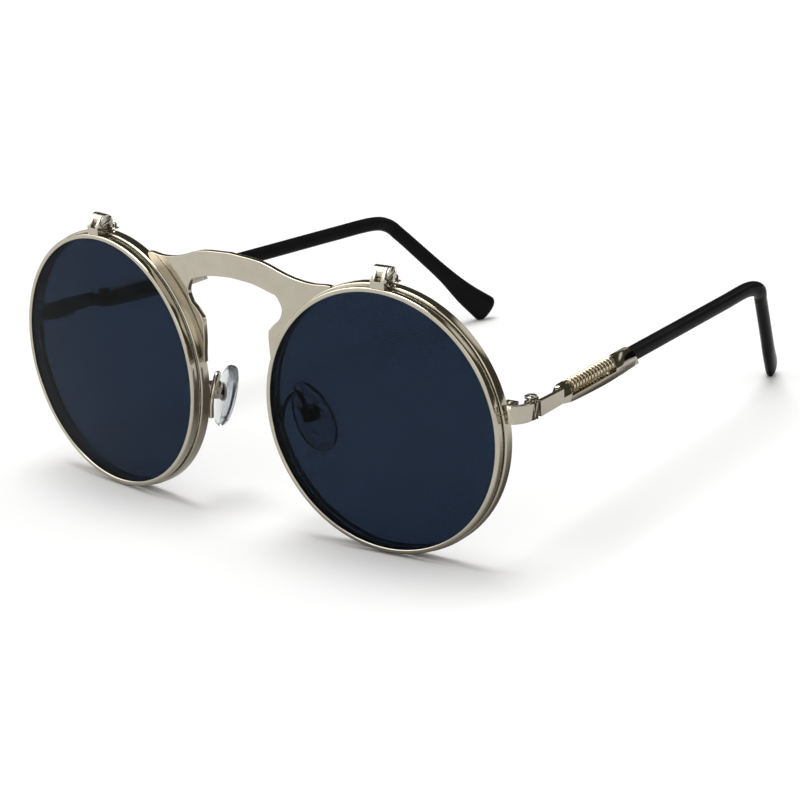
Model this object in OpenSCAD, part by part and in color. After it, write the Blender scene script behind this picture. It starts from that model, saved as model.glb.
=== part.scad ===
// Round flip-up sunglasses: a dark lens in its own thin rim is hinged at the top of each
// clear-lensed rim. A flat keyhole bridge joins the rims, and each metal temple carries a
// visible coil spring and a black acetate tip. Sizes are in millimetres.
// The front faces -Y, the temples run back along +Y, and the table is the plane z = 0.

/* [Lenses and rims] */
// Radius of the part of a lens that shows inside its rim
lens_r = 24.5; // [22:0.1:27]
// Distance between the two lenses across the nose
lens_gap = 20.3; // [19:0.1:24]
// Angle by which each rim wraps back from the bridge
wrap_angle = 6.2; // [3:0.1:9]
// Thickness of a lens
lens_t = 1.1; // [0.9:0.05:1.2]
// Radius of the curve of a lens
lens_curve_r = 250; // [180:5:400]
// Radial width of a flip-up rim
flip_rim_w = 0.9; // [0.8:0.05:1.1]
// Depth of a flip-up rim from front to back
flip_rim_d = 1.5; // [1.4:0.05:1.8]
// Radial width of a fixed rim
fixed_rim_w = 1.3; // [1.2:0.05:1.6]
// Depth of a fixed rim from front to back
fixed_rim_d = 2.15; // [1.9:0.05:2.5]
// Gap between a flip-up rim and the fixed rim behind it
rim_gap = 0.35; // [0.25:0.05:0.6]
// Depth of the groove that holds a lens
groove_d = 0.45; // [0.3:0.05:0.5]
// Half of the width of that groove
groove_hw = 0.42; // [0.3:0.02:0.45]
// Radius of the rounded edges of a rim
rim_edge_r = 0.3; // [0.15:0.05:0.4]

/* [Bridge] */
// Thickness of the bridge plate
bridge_t = 1.1; // [0.8:0.1:1.1]
// Height of the bridge's top above the rims
bridge_rise = 1.1; // [0.5:0.1:2]
// Height of the plate at its middle
bridge_h = 4.8; // [3.5:0.1:6]
// Radius of the plate's bow, seen from above
bridge_bow_r = 143; // [120:1:180]
// Distance by which the plate sits behind the front of the fixed rims
bridge_back = 1.15; // [0.9:0.05:1.2]

/* [Flip hinge] */
// Distance of a flip hinge from its lens's middle, towards the temple
hinge_u = 1.25; // [0:0.05:2]
// Height of the hinge pin above the top of the fixed rim
pin_rise = 2.05; // [1.9:0.05:2.2]
// Distance of the hinge pin behind the front of the flip-up rim
pin_back = 2.2; // [2.1:0.05:2.4]
// Radius of the hinge barrel
barrel_r = 1.4; // [1.25:0.05:1.4]
// Length of the hinge barrel
barrel_len = 3; // [2.8:0.1:3.4]
// Width of the bracket's knuckle in the middle of the barrel
knuckle_w = 1.3; // [1.1:0.1:1.4]
// Width of the wider of the two ears
ear_w = 0.95; // [0.8:0.05:1]
// Thickness of the tab that stands on the flip-up rim
tab_t = 1; // [0.8:0.05:1.1]
// Height of the tab above the flip-up rim
tab_h = 1.6; // [1.4:0.05:1.7]
// Radius of the hinge screw
flip_screw_r = 0.6; // [0.5:0.05:0.7]
// Radius of the head of the hinge screw
flip_head_r = 1.35; // [1.2:0.05:1.4]
// Thickness of the head of the hinge screw
flip_head_t = 0.45; // [0.35:0.05:0.5]

/* [End pieces and temple hinges] */
// Distance of an end piece's outer face outside its rim
end_out = 1; // [0.9:0.05:1.3]
// Thickness of an end piece
end_t = 1.1; // [1:0.05:1.2]
// Length of an end piece from front to back
end_len = 7.7; // [7:0.1:9]
// Height of an end piece at its front
end_front_h = 3.35; // [3:0.05:3.6]
// Height of an end piece at the temple hinge
end_back_h = 2.9; // [2.6:0.05:3]
// Height of an end piece's front above the lens's middle
end_front_z = 4.6; // [4.4:0.05:4.8]
// Height of the temple hinge above the lens's middle
end_back_z = 3.25; // [3.15:0.05:3.35]
// Radius of the temple hinge's barrel
temple_barrel_r = 1.4; // [1.3:0.05:1.45]
// Height of the middle knuckle, which belongs to the temple
temple_knuckle_h = 1.05; // [0.9:0.05:1.2]
// Height of an outer knuckle, which belongs to the end piece
end_knuckle_h = 1.05; // [0.9:0.05:1.2]
// Radius of the temple hinge's screw
temple_screw_r = 0.6; // [0.5:0.05:0.7]
// Radius of the head of the temple hinge's screw
temple_head_r = 1.15; // [1:0.05:1.3]
// Thickness of the head of the temple hinge's screw
temple_head_t = 0.4; // [0.35:0.05:0.5]
// Gap between the end piece and the open temple
temple_gap = 0.6; // [0.5:0.05:0.8]

/* [Rim closing blocks] */
// Height of each half of the block that closes a fixed rim
block_h = 1.15; // [1.1:0.05:1.4]
// Width of the block
block_w = 2.2; // [2.1:0.05:2.3]
// Length of the block behind the rim
block_len = 2.4; // [2.2:0.05:2.6]
// Gap of the split between the halves
split_gap = 0.12; // [0.08:0.02:0.2]
// Radius of the closing screw
closing_screw_r = 0.5; // [0.4:0.05:0.55]

/* [Temples] */
// Angle by which the temples close in towards the back
temple_in = 7; // [5:0.1:8]
// Angle by which the temples drop towards the back
temple_tilt = 1.45; // [1:0.05:2]
// Thickness of the hinge leaf
leaf_t = 0.9; // [0.8:0.05:1]
// Length of the hinge leaf that shows
leaf_len = 8.2; // [7:0.1:10]
// Height of the hinge leaf at the hinge
leaf_h = 2.9; // [2.7:0.05:3]
// Height of the hinge leaf where it enters the temple
leaf_back_h = 2.6; // [2.4:0.05:2.7]
// Thickness of the temple
temple_t = 2.8; // [2.6:0.05:3]
// Length of the block in front of the spring
front_block_len = 2.9; // [2.5:0.1:3.5]
// Length of the spring's notch
notch_len = 16.5; // [16.2:0.1:18]
// Length of the block behind the spring, along its middle
rear_block_len = 7.5; // [6:0.1:9]
// Height of the temple's top above its middle
temple_top = 1.8; // [1.7:0.05:1.9]
// Depth of the temple's lowest point below its middle
temple_belly = 2.3; // [2.1:0.05:2.5]
// Height of the rail under the spring
rail_h = 1.4; // [1.3:0.05:1.5]

/* [Springs] */
// Outer diameter of a spring
spring_d = 2.7; // [2.6:0.05:2.8]
// Diameter of the spring's wire
wire_d = 0.6; // [0.5:0.02:0.62]
// Number of turns of a spring
spring_turns = 14; // [12:1:14]
// Diameter of the rod inside the spring
rod_d = 1.2; // [1:0.05:1.25]
// Gap between the spring and the rail under it
spring_rail_gap = 0.12; // [0.1:0.02:0.2]

/* [Temple tips] */
// Distance from the hinge end of the temple to the bend over the ear
bend_s = 89.4; // [85:0.1:94]
// Angle by which a tip turns further inwards at the bend
tip_in = 20.6; // [15:0.1:24]
// Length of the tip behind the bend, seen from above
tip_run = 22.6; // [20:0.1:25]
// Height of a tip's section
tip_h = 3.1; // [2.9:0.05:3.2]
// Thickness of a tip's section
tip_t = 2.6; // [2.4:0.05:2.7]
// Height of the paddle at a tip's end
paddle_h = 6.2; // [5.4:0.1:6.6]
// Diameter of the core wire inside a tip
core_d = 1.4; // [1.2:0.05:1.5]
// Length of that wire behind the temple
core_len = 44; // [30:1:45]

/* [Nose pads] */
// Length of a nose pad
pad_len = 14; // [13:0.1:15]
// Width of a nose pad
pad_w = 7.4; // [6.5:0.1:8]
// Thickness of a nose pad
pad_t = 2.8; // [2.4:0.1:3.2]
// Angle by which the lower ends of the pads spread apart
pad_splay = 25; // [20:1:30]
// Angle by which a pad's face turns from the back towards the nose
pad_turn = 25; // [20:1:30]
// Diameter of the wire of a pad arm
arm_d = 1; // [0.9:0.05:1.1]
// Width of a pad box across its cheeks
box_w = 1.9; // [1.8:0.05:2.1]
// Width of the lug inside a pad box
lug_w = 1; // [0.9:0.05:1.05]
// Radius of the insert inside a pad
insert_r = 1.8; // [1.6:0.05:2]
// Radius of a pad screw
pad_screw_r = 0.4; // [0.35:0.05:0.45]

/* [Fits] */
// Solder line between two joined pieces
solder_gap = 0.02; // [0.01:0.01:0.03]
// Clearance between a lens and its groove
lens_fit = 0.03; // [0.02:0.01:0.04]
// Running clearance of a pin in its bore
pin_fit = 0.05; // [0.03:0.01:0.06]
// Gap between two knuckles of a hinge
knuckle_gap = 0.06; // [0.05:0.01:0.08]

/* [Hidden] */

$fn = 96;
SMALL = 40;
BIG = 360;
RIGHT = 1;
LEFT = -1;
eps = 0.01;
far = 60;

metal = "#cfc6b4";
bright = "#e2dccf";
dark_glass = "#25303f";
clear_glass = "#dfe8ec";
acetate = "#141414";
silicone = "#e9edee";
dark_steel = "#4c4a45";

// Rims
spacing = 2 * lens_r + lens_gap;
flip_r = lens_r + flip_rim_w;
fixed_r = lens_r + fixed_rim_w;
fixed_v = flip_rim_d + rim_gap;
fixed_back_v = fixed_v + fixed_rim_d;
rest_z = fixed_r;

// Flip hinges
pin_z = fixed_r + pin_rise;
tab_top_z = flip_r + tab_h;
slot_floor_z = tab_top_z - 0.35;
ear_front_x = -barrel_len / 2;
knuckle_x = ear_front_x + ear_w + knuckle_gap;
ear_back_x = knuckle_x + knuckle_w + knuckle_gap;
barrel_end_x = barrel_len / 2;
foot_t = 0.22;
stud_r = 0.45;
stud_h = 1.1;
stud_gap = 0.15;
// Depth to which a soldered piece reaches into a rim before the rim is cut out of it
overlap = 1;
bracket_v = fixed_v + 0.1;
flip_slot_w = 0.4;
flip_slot_d = 0.22;
flip_slot_turn = 20;

// End pieces, in the frame of the lens centres
end_x = spacing / 2 + fixed_r * cos(wrap_angle) + end_out;
rim_out_y = fixed_r * sin(wrap_angle) + fixed_v * cos(wrap_angle);
end_y = rim_out_y + 0.2;
end_back_y = end_y + end_len;
end_corner_r = 0.8;
end_wall_t = 1.2;
hinge_y = end_back_y + temple_gap;
barrel_side_gap = 0.15;
temple_pin_in = leaf_t + temple_barrel_r + barrel_side_gap;
pin_x = end_x - temple_pin_in;
pin_y = hinge_y + 0.6;
knuckle_mid_z = end_back_z + 0.05;
knuckle_lo_z = knuckle_mid_z - temple_knuckle_h / 2;
knuckle_hi_z = knuckle_mid_z + temple_knuckle_h / 2;
barrel_lo_z = knuckle_lo_z - knuckle_gap - end_knuckle_h;
barrel_hi_z = knuckle_hi_z + knuckle_gap + end_knuckle_h;

temple_slot_w = 0.36;
temple_slot_d = 0.2;
end_reach = 3;

// Closing blocks, in the frame of one rim
block_u = sqrt(fixed_r * fixed_r - end_front_z * end_front_z) - block_w + 0.45;
block_v = fixed_back_v + solder_gap;
block_screw_u = block_u + block_w / 2;
block_screw_v = block_v + block_len / 2;
block_low_z = end_front_z - split_gap / 2 - block_h;
closing_head_r = closing_screw_r + 0.4;
closing_head_h = 0.4;
closing_slot_w = 0.26;
closing_slot_d = 0.15;

// Temple, along its own length s from its hinge end
leaf_start = 0.4;
bar_start = leaf_start + leaf_len;
notch_start = bar_start + front_block_len;
notch_end = notch_start + notch_len;
bar_end = notch_end + rear_block_len;
bar_slant = 2;
bar_rear_rise = 0.6;
rail_z = rail_h - temple_belly;
rod_front = 1;
rod_rear = 3;
tongue_len = front_block_len - rod_front - 0.3;
tongue_h = 1.4;
tongue_t = leaf_t;
leaf_mid_z = end_back_z + 0.1;

// Spring
spring_r = (spring_d - wire_d) / 2;
spring_t = temple_t / 2;
spring_z = rail_z + spring_rail_gap + spring_d / 2;
spring_pitch = (notch_len - 2 * wire_d - 2 * solder_gap) / spring_turns;
ring_turn = 45;
wire_sides = 6;

// Tip
tip_sides = 16;
tip_gap = 0.03;
cap_gap = 0.2;
tip_mid_t = temple_t / 2;
// Height of the middle of the paddle's end above the table, as a share of the paddle's height
tip_low = 0.415;
// Length of the tip's rounded end, and how square it is across its height and its thickness
cap_steps = 4;
cap_len = 1.7;
cap_square_h = 0.55;
cap_square_t = 0.75;
bend_drop = leaf_mid_z - bend_s * sin(temple_tilt);
tip_end_z = tip_low * paddle_h - rest_z;
tip_drop = bend_drop - tip_end_z;
// Shares of the tip's run and of its drop, from the bend to the middle of the paddle
tip_course = [[0, 0.06], [0.13, 0.17], [0.28, 0.315], [0.58, 0.61], [0.8, 0.83], [1, 1]];
// Share of the growth from the tip's height to the paddle's at each of those points
tip_growth = [0, 0, 0.02, 0.14, 0.58, 1];

// Nose pads, in the frame of one rim
pad_u = -(lens_r - 2.45);
pad_v = fixed_back_v + 6.4;
pad_z = -5.3;
pivot_z = 1.3;
pivot_y = -2.35;
box_h = 3;
box_wall = 0.45;
box_front = 1.1;
cheek_gap = 0.05;
lug_r = 0.85;
lug_gap = 0.1;
box_back_y = pivot_y - lug_r - lug_gap - box_wall;
box_d = pivot_y + box_front - box_back_y;
pad_head_r = pad_screw_r + 0.35;
pad_head_t = 0.3;
insert_t = 0.9;
insert_z = pivot_z - 0.4;
pad_front = 0.9;
insert_y = 0.1 - pad_front;

function unit(v) = v / norm(v);
function arc(c, r, a0, a1, n) =
    [for (i = [0:n]) c + r * [cos(a0 + (a1 - a0) * i / n), sin(a0 + (a1 - a0) * i / n)]];
function sag(r) = lens_curve_r - sqrt(lens_curve_r * lens_curve_r - r * r);

// A smooth curve through the given points, with n steps from each to the next
function blend_point(a, b, c, d, t) =
    0.5 * (2 * b + (c - a) * t + (2 * a - 5 * b + 4 * c - d) * t * t
    + (3 * b - a - 3 * c + d) * t * t * t);
function curve(p, n) = concat(
    [for (i = [0:len(p) - 2]) for (j = [0:n - 1])
        blend_point(i == 0 ? 2 * p[0] - p[1] : p[i - 1], p[i], p[i + 1],
                    i == len(p) - 2 ? 2 * p[i + 1] - p[i] : p[i + 2], j / n)],
    [p[len(p) - 1]]);

// A closed skin over rings that have the same number of sides
function tube_faces(rings, sides) = concat(
    [for (k = [1:sides - 2]) [0, k, k + 1]],
    [for (i = [0:rings - 2]) for (k = [0:sides - 1])
        [i * sides + k, (i + 1) * sides + k, (i + 1) * sides + (k + 1) % sides]],
    [for (i = [0:rings - 2]) for (k = [0:sides - 1])
        [i * sides + k, (i + 1) * sides + (k + 1) % sides, i * sides + (k + 1) % sides]],
    [for (k = [1:sides - 2]) (rings - 1) * sides * [1, 1, 1] + [0, k + 1, k]]);
function heading(p, i) = unit(p[min(i + 1, len(p) - 1)] - p[max(i - 1, 0)]);
function ring(c, side, up, a, b, sides) =
    [for (k = [0:sides - 1])
        c + side * a * cos(360 * (k + 0.5) / sides) + up * b * sin(360 * (k + 0.5) / sides)];
function level_ring(p, i, a, b, sides) =
    let (dir = heading(p, i), side = unit(cross([0, 0, 1], dir)))
    ring(p[i], side, cross(dir, side), a, b, sides);

module skin(rings) {
    sides = len(rings[0]);
    polyhedron([for (r = rings) each r], tube_faces(len(rings), sides), convexity = 6);
}

// Everything stands on the table, with the origin under the middle of its length
module place() {
    translate([0, -mid_y, rest_z]) children();
}
// Frame of one rim: x outwards, y back through the rim from its front, z up from its middle
module rim_frame(side) {
    place() mirror([side < 0 ? 1 : 0, 0, 0]) translate([spacing / 2, 0, 0])
        rotate([0, 0, wrap_angle]) children();
}
// Frame of a flip hinge: x along the pin, the same way on both sides
module hinge_frame(side) {
    rim_frame(side) translate([hinge_u, 0, 0]) mirror([side < 0 ? 1 : 0, 0, 0]) children();
}
// Frame of an end piece, which is the frame of the whole front
module front_frame(side) {
    place() mirror([side < 0 ? 1 : 0, 0, 0]) children();
}
// Frame of a temple: x back along its outer face, y inwards, z up
module temple_frame(side) {
    front_frame(side) translate([end_x, hinge_y, 0]) rotate([0, 0, 90 + temple_in]) children();
}
// The same frame, dropped towards the back about the middle of the leaf
module bar_frame(side) {
    temple_frame(side) translate([0, 0, leaf_mid_z]) rotate([0, temple_tilt, 0]) children();
}
// Frame of a nose pad: y out of its face, z up along it
module pad_frame(side) {
    rim_frame(side) translate([pad_u, pad_v, pad_z]) rotate([0, -pad_splay, 0])
        rotate([0, 0, pad_turn]) children();
}
module through_rim() {
    rotate([-90, 0, 0]) children();
}
module along_x(x0, x1) {
    translate([x0, 0, 0]) rotate([90, 0, 90]) linear_extrude(x1 - x0) children();
}

// Rims and lenses

module rim_section(w, d) {
    polygon(concat(
        arc([lens_r + w - rim_edge_r, rim_edge_r], rim_edge_r, -90, 0, 4),
        arc([lens_r + w - rim_edge_r, d - rim_edge_r], rim_edge_r, 0, 90, 4),
        arc([lens_r + 0.15, d - 0.15], 0.15, 90, 180, 2),
        [[lens_r, d / 2 + groove_hw], [lens_r + groove_d, d / 2], [lens_r, d / 2 - groove_hw]],
        arc([lens_r + 0.15, 0.15], 0.15, 180, 270, 2)));
}
module rim_ring(w, d) {
    through_rim() rotate_extrude() rim_section(w, d);
}
module lens(mid_v) {
    steps = 12;
    edge = lens_r - lens_fit;
    through_rim() rotate_extrude() polygon(concat(
        [for (i = [0:steps]) let (r = edge * i / steps)
            [r, mid_v - lens_t / 2 - sag(edge) + sag(r)]],
        [[edge, mid_v - groove_hw], [edge + groove_d, mid_v], [edge, mid_v + groove_hw]],
        [for (i = [steps:-1:0]) let (r = edge * i / steps)
            [r, mid_v + lens_t / 2 - sag(edge) + sag(r)]]));
}
module flip_rim(side) {
    color(metal) rim_frame(side) rim_ring(flip_rim_w, flip_rim_d);
}
module dark_lens(side) {
    color(dark_glass) rim_frame(side) lens(flip_rim_d / 2);
}
// The fixed rim is split where the closing blocks clamp it round its lens
module fixed_rim(side) {
    color(metal) rim_frame(side) difference() {
        translate([0, fixed_v, 0]) rim_ring(fixed_rim_w, fixed_rim_d);
        translate([lens_r - 2, fixed_v - eps, end_front_z - split_gap / 2])
            cube([4, fixed_rim_d + 2 * eps, split_gap]);
    }
}
module clear_lens(side) {
    color(clear_glass) rim_frame(side) lens(fixed_v + fixed_rim_d / 2);
}
module rim_cutter(r) {
    translate([0, -far / 2, 0]) through_rim() cylinder(r = r + solder_gap, h = far);
}

// Bridge plate: a keyhole outline on a plate bowed like the front

function on_rim(beyond, angle) =
    [spacing / 2 - (fixed_r + beyond) * cos(angle), (fixed_r + beyond) * sin(angle)];
bridge_top_z = fixed_r + bridge_rise;
bridge_under_z = bridge_top_z - bridge_h;
bridge_upper = [[0, bridge_top_z], [spacing * 0.105, bridge_top_z - 0.62], on_rim(6.9, 48.5),
                on_rim(4.4, 51.9), on_rim(2.35, 56.3), on_rim(0.9, 61.8)];
bridge_keyhole = [[0, bridge_under_z], [spacing * 0.075, bridge_under_z - 0.45],
                  on_rim(6.65, 39.2), on_rim(4.6, 39.2), on_rim(3, 37.7), on_rim(2.45, 33.9),
                  on_rim(3.05, 29.8), on_rim(3.5, 26.6)];
bridge_leg = [on_rim(3.5, 26.4), on_rim(3.05, 23.7), on_rim(1.85, 17.9), on_rim(0.8, 12.5),
              on_rim(0.35, 8.8)];

function backwards(p) = [for (i = [len(p) - 1:-1:0]) p[i]];
bridge_half = concat(curve(bridge_upper, 5), [on_rim(0.35, 63.6)],
    [for (a = [63.6:-6:9]) on_rim(-1, a)],
    backwards(curve(bridge_leg, 4)), backwards(curve(bridge_keyhole, 4)));
bridge_mirrored = [for (i = [len(bridge_half) - 2:-1:1]) [-bridge_half[i][0], bridge_half[i][1]]];
module bridge_plate() {
    color(metal) difference() {
        place() intersection() {
            translate([0, far / 2, 0]) rotate([90, 0, 0]) linear_extrude(far)
                polygon(concat(bridge_half, bridge_mirrored));
            translate([0, bow_front_y + bridge_bow_r, 0]) difference() {
                cylinder(r = bridge_bow_r, h = far, $fn = BIG);
                translate([0, 0, -eps])
                    cylinder(r = bridge_bow_r - bridge_t, h = far + 2 * eps, $fn = BIG);
            }
        }
        for (side = [LEFT, RIGHT]) rim_frame(side) rim_cutter(fixed_r);
    }
}
// The bow passes behind the front of the fixed rims where the plate's leg ends on them
bow_x = on_rim(0, 45)[0];
bow_rim_u = (bow_x - spacing / 2) / cos(wrap_angle);
bow_rim_y = bow_rim_u * sin(wrap_angle) + (fixed_v + bridge_back) * cos(wrap_angle);
bow_front_y = bow_rim_y - bridge_bow_r + sqrt(bridge_bow_r * bridge_bow_r - bow_x * bow_x);

// Flip hinges

module ear_profile() {
    translate([pin_back, pin_z]) circle(r = barrel_r, $fn = SMALL);
    polygon([[0, flip_r - overlap], [0, tab_top_z],
             [pin_back - barrel_r * cos(35), pin_z + barrel_r * sin(35)],
             [pin_back, pin_z], [tab_t, tab_top_z - tab_t / 4], [tab_t, flip_r - overlap]]);
}
module flip_tab(side) {
    color(bright) difference() {
        hinge_frame(side) difference() {
            union() {
                along_x(ear_front_x, ear_front_x + ear_w) ear_profile();
                along_x(ear_back_x, barrel_end_x) ear_profile();
                translate([ear_front_x, 0, flip_r - overlap])
                    cube([barrel_len, tab_t, slot_floor_z - flip_r + overlap]);
            }
            translate([-far / 2, pin_back, pin_z]) rotate([0, 90, 0])
                cylinder(r = flip_screw_r + pin_fit, h = far, $fn = SMALL);
        }
        rim_frame(side) rim_cutter(flip_r);
    }
}
module flip_bracket(side) {
    color(metal) difference() {
        hinge_frame(side) difference() {
            union() {
                along_x(knuckle_x, knuckle_x + knuckle_w) {
                    translate([pin_back, pin_z]) circle(r = barrel_r, $fn = SMALL);
                    polygon([[bracket_v, fixed_r - overlap], [bracket_v, pin_z],
                             [pin_back + barrel_r * cos(20), pin_z - barrel_r * sin(20)],
                             [fixed_back_v - 0.3, fixed_r + 0.75], [fixed_back_v, fixed_r + foot_t],
                             [fixed_back_v, fixed_r - overlap]]);
                }
                intersection() {
                    translate([-hinge_u * side, bracket_v, 0]) through_rim()
                        cylinder(r = fixed_r + foot_t, h = fixed_rim_d + 2 * stud_r + stud_gap);
                    translate([ear_front_x, 0, fixed_r - overlap])
                        cube([barrel_len + 2 * stud_gap, far, far]);
                }
                translate([barrel_end_x - stud_r, fixed_back_v + stud_r + stud_gap, fixed_r])
                    rotate_extrude($fn = SMALL)
                        polygon([[0, -overlap], [stud_r, -overlap], [stud_r, stud_h - stud_gap],
                                 [stud_r - stud_gap, stud_h], [0, stud_h]]);
            }
            translate([-far / 2, pin_back, pin_z]) rotate([0, 90, 0])
                cylinder(r = flip_screw_r + solder_gap, h = far, $fn = SMALL);
        }
        rim_frame(side) rim_cutter(fixed_r);
    }
}
// The slotted head is on the same side of both hinges
module flip_screw(side) {
    color(bright) hinge_frame(side) difference() {
        translate([0, pin_back, pin_z]) rotate([0, 90, 0]) union() {
            translate([0, 0, ear_front_x])
                cylinder(r = flip_screw_r, h = barrel_len + 2 * knuckle_gap, $fn = SMALL);
            translate([0, 0, barrel_end_x + knuckle_gap])
                cylinder(r = flip_head_r, h = flip_head_t, $fn = SMALL);
        }
        translate([barrel_end_x + knuckle_gap + flip_head_t - flip_slot_d, pin_back, pin_z])
            rotate([flip_slot_turn, 0, 0]) translate([0, -far / 2, -flip_slot_w / 2])
                cube([far, far, flip_slot_w]);
    }
}

// End pieces, temple hinges and rim closing blocks

module end_side_profile() {
    polygon(concat(
        curve([[end_y, end_front_z - end_front_h / 2],
               [end_y + end_len * 0.5, end_back_z - end_back_h / 2 + 0.28],
               [end_back_y, end_back_z - end_back_h / 2]], 4),
        curve([[end_back_y, end_back_z + end_back_h / 2],
               [end_y + end_len * 0.44, end_back_z + end_back_h / 2 + 0.78],
               [end_y, end_front_z + end_front_h / 2]], 4)));
}
module end_plan() {
    polygon(concat([[end_x - end_reach, end_y]],
        arc([end_x - end_corner_r, end_y + end_corner_r], end_corner_r, -90, 0, 6),
        [[end_x, end_back_y], [end_x - end_t, end_back_y],
         [end_x - end_t, end_y + end_wall_t], [end_x - end_reach, end_y + end_wall_t]]));
}
module knuckle_plan() {
    translate([pin_x, pin_y]) circle(r = temple_barrel_r, $fn = SMALL);
    polygon([[end_x - end_t + 0.2, end_back_y - 2.4], [end_x - end_t + 0.2, end_back_y],
             [pin_x + temple_barrel_r * cos(25), pin_y - temple_barrel_r * sin(25)],
             [pin_x, pin_y],
             [pin_x - temple_barrel_r * cos(50), pin_y - temple_barrel_r * sin(50)]]);
}
module end_piece(side) {
    color(metal) difference() {
        front_frame(side) difference() {
            union() {
                intersection() {
                    linear_extrude(far) end_plan();
                    along_x(end_x - far, end_x + far) end_side_profile();
                }
                translate([0, 0, barrel_lo_z]) linear_extrude(end_knuckle_h) knuckle_plan();
                translate([0, 0, knuckle_hi_z + knuckle_gap]) linear_extrude(end_knuckle_h)
                    knuckle_plan();
            }
            translate([pin_x, pin_y, -far / 2])
                cylinder(r = temple_screw_r + solder_gap, h = far, $fn = SMALL);
        }
        rim_frame(side) rim_cutter(fixed_r);
        rim_frame(side) translate([lens_r - 2, 0, end_front_z - split_gap / 2])
            cube([fixed_rim_w + 2 + end_out / 4, fixed_back_v, split_gap]);
    }
}
module temple_screw(side) {
    color(bright) front_frame(side) translate([pin_x, pin_y, 0]) difference() {
        union() {
            translate([0, 0, barrel_lo_z])
                cylinder(r = temple_screw_r, h = barrel_hi_z - barrel_lo_z + 5 * solder_gap, $fn = SMALL);
            translate([0, 0, barrel_hi_z + solder_gap])
                cylinder(r = temple_head_r, h = temple_head_t, $fn = SMALL);
        }
        translate([-far / 2, -temple_slot_w / 2, barrel_hi_z + temple_head_t - temple_slot_d])
            cube([far, temple_slot_w, far]);
    }
}
module closing_blocks(side) {
    color(metal) rim_frame(side) difference() {
        for (z = [block_low_z, end_front_z + split_gap / 2])
            translate([block_u, block_v, z]) cube([block_w, block_len, block_h]);
        translate([block_screw_u, block_screw_v, -far / 2])
            cylinder(r = closing_screw_r + solder_gap, h = far, $fn = SMALL);
    }
}
// The closing screw goes in from below, with its head under the lower block
module closing_screw(side) {
    under_z = block_low_z - solder_gap;
    color(bright) rim_frame(side) translate([block_screw_u, block_screw_v, 0]) difference() {
        union() {
            translate([0, 0, under_z - closing_head_h / 2])
                cylinder(r = closing_screw_r, h = 2 * block_h + split_gap + closing_head_h / 2, $fn = SMALL);
            translate([0, 0, under_z - closing_head_h])
                cylinder(r = closing_head_r, h = closing_head_h, $fn = SMALL);
        }
        translate([-far / 2, -closing_slot_w / 2, under_z - closing_head_h + closing_slot_d - far])
            cube([far, closing_slot_w, far]);
    }
}

// Temples

module temple_leaf(side) {
    pin_s = (pin_y - hinge_y) * cos(temple_in) + (end_x - pin_x) * sin(temple_in);
    pin_t = (end_x - pin_x) * cos(temple_in) - (pin_y - hinge_y) * sin(temple_in);
    color(metal) difference() {
        union() {
            bar_frame(side) {
                rotate([90, 0, 0]) translate([0, 0, -leaf_t]) linear_extrude(leaf_t)
                    polygon([[leaf_start, -leaf_h / 2], [bar_start, -leaf_back_h / 2],
                             [bar_start, leaf_back_h / 2], [leaf_start, leaf_h / 2]]);
                translate([bar_start - overlap, leaf_t, -tongue_h / 2])
                    cube([tongue_len + overlap, tongue_t, tongue_h]);
            }
            temple_frame(side) translate([0, 0, knuckle_lo_z]) linear_extrude(temple_knuckle_h) {
                translate([pin_s, pin_t]) circle(r = temple_barrel_r, $fn = SMALL);
                polygon([[leaf_start + 0.1, leaf_t - 0.2], [leaf_start + 3.2, leaf_t - 0.2],
                         [pin_s + temple_barrel_r * 0.75, pin_t + temple_barrel_r * 0.66],
                         [pin_s, pin_t]]);
            }
        }
        temple_frame(side) translate([pin_s, pin_t, -far / 2])
            cylinder(r = temple_screw_r + pin_fit, h = far, $fn = SMALL);
    }
}
module bar_section() {
    edge_z = -0.4;
    lean = 0.85;
    polygon([[0.3, -temple_belly - 0.5], [0, -temple_belly + 0.5], [0, edge_z],
             [lean, temple_top], [temple_t - lean, temple_top], [temple_t, edge_z],
             [temple_t, -temple_belly + 0.5], [temple_t - 0.3, -temple_belly - 0.5]]);
}
module bar_profile() {
    start = bar_start + solder_gap;
    notch_bevel = 0.4;
    polygon(concat(
        curve([[start, -temple_belly + 0.85], [notch_start + 1.5, -temple_belly + 0.3],
               [notch_end - 3, -temple_belly],
               [bar_end + bar_slant / 2, -temple_belly + bar_rear_rise]], 5),
        [[bar_end - bar_slant / 2, temple_top], [notch_end + notch_bevel, temple_top],
         [notch_end, temple_top - notch_bevel], [notch_end, rail_z],
         [notch_start, rail_z], [notch_start, temple_top - notch_bevel],
         [notch_start - notch_bevel, temple_top], [start + 0.6, temple_top - 0.1],
         [start, temple_top - 0.45]]));
}
// A forged bar with a notch for the spring, and the core wire of its tip
module temple_bar(side) {
    color(metal) bar_frame(side) difference() {
        union() {
            intersection() {
                rotate([90, 0, 0]) translate([0, 0, -temple_t]) linear_extrude(temple_t)
                    bar_profile();
                translate([bar_start, 0, 0]) rotate([90, 0, 90])
                    linear_extrude(bar_end - bar_start + bar_slant) bar_section();
            }
            translate([bar_end - bar_slant, tip_mid_t, 0]) rotate([0, 90, 0])
                cylinder(d = core_d, h = core_len + bar_slant, $fn = SMALL);
        }
        translate([bar_start - eps, leaf_t - solder_gap, -tongue_h / 2 - solder_gap])
            cube([tongue_len + 3 * solder_gap, tongue_t + 2 * solder_gap, tongue_h + 2 * solder_gap]);
        translate([notch_start - rod_front - solder_gap, spring_t, spring_z]) rotate([0, 90, 0])
            cylinder(d = rod_d + 2 * solder_gap,
                     h = notch_len + rod_front + rod_rear + 2 * solder_gap, $fn = SMALL);
    }
}
module spring_rod(side) {
    color(bright) bar_frame(side) translate([notch_start - rod_front, spring_t, spring_z])
        rotate([0, 90, 0]) cylinder(d = rod_d, h = notch_len + rod_front + rod_rear, $fn = SMALL);
}

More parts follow.
